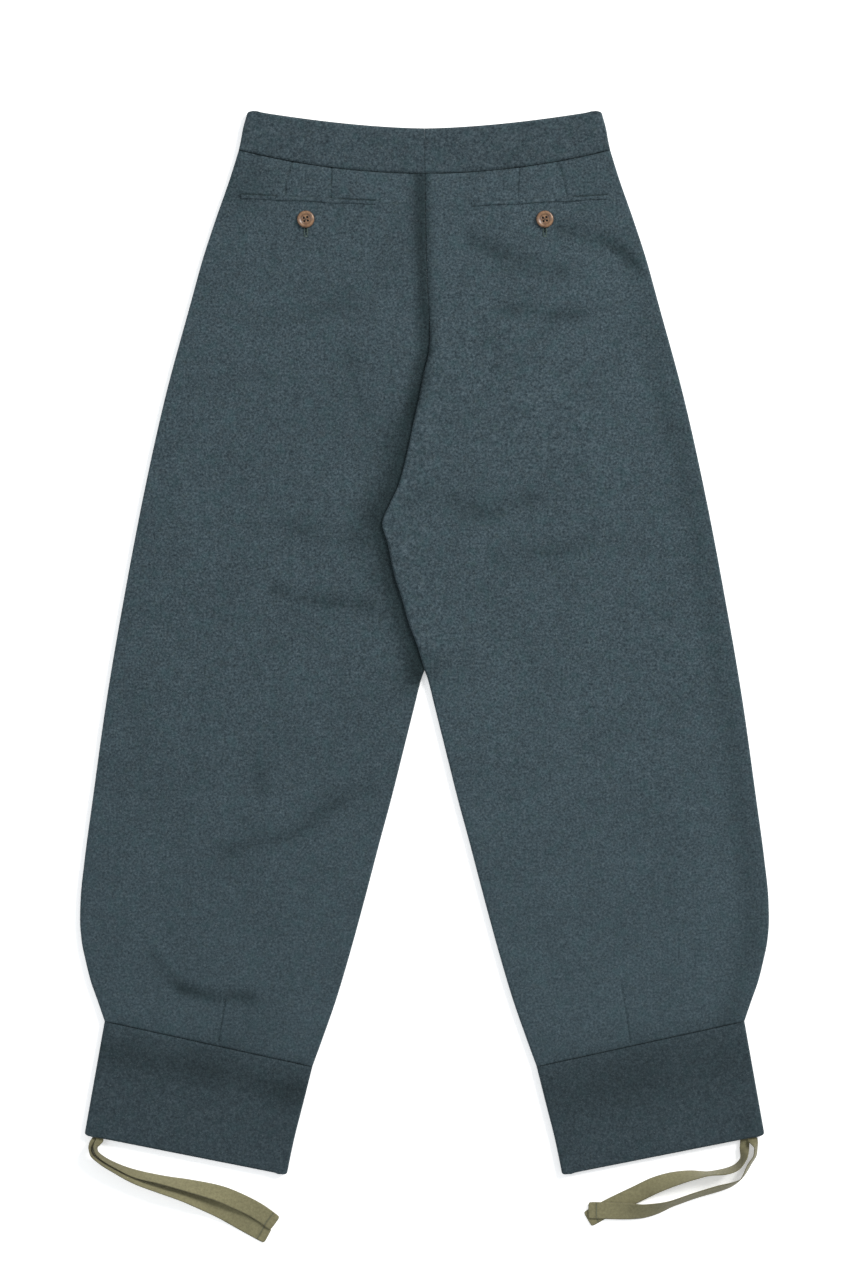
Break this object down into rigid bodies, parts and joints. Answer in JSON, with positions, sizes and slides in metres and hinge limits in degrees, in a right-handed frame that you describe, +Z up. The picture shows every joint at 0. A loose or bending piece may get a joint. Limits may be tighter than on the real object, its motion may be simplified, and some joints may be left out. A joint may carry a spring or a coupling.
{
  "type": "military trousers laid flat",
  "caption": "Wool military trousers laid flat, back side up, with a shaped waistband, welt pockets with buttons, long ankle cuffs and tape ties.",
  "frame": {"origin": "middle of the garment's outline on the surface it lies on", "axes": "+Y towards the waist, +Z up from the surface, +X to the wearer's right seen from the back"},
  "size_m": [0.7188, 1.1823, 0.019],
  "materials": {
    "wool": "blue-grey heathered melton, felted and matt",
    "tape": "olive-khaki woven cotton tape",
    "button": "brown four-hole button with a soft shine",
    "thread": "matt grey-green sewing thread"
  },
  "bodies": {
    "root": {"back_left": "wool", "back_right": "wool", "front_left": "wool", "front_right": "wool", "waistband_back_left": "wool", "waistband_back_right": "wool", "waistband_front_left": "wool", "waistband_front_right": "wool", "cuff_back_left": "wool", "cuff_back_right": "wool", "cuff_front_left": "wool", "cuff_front_right": "wool", "pocket_welt_left": "wool", "pocket_welt_right": "wool", "fly_shield": "wool", "tie_left_lower": "tape", "tie_left_upper": "tape", "tie_right_lower": "tape", "tie_right_upper": "tape", "pocket_button_left": "button", "pocket_button_right": "button"}
  },
  "joints": []
}
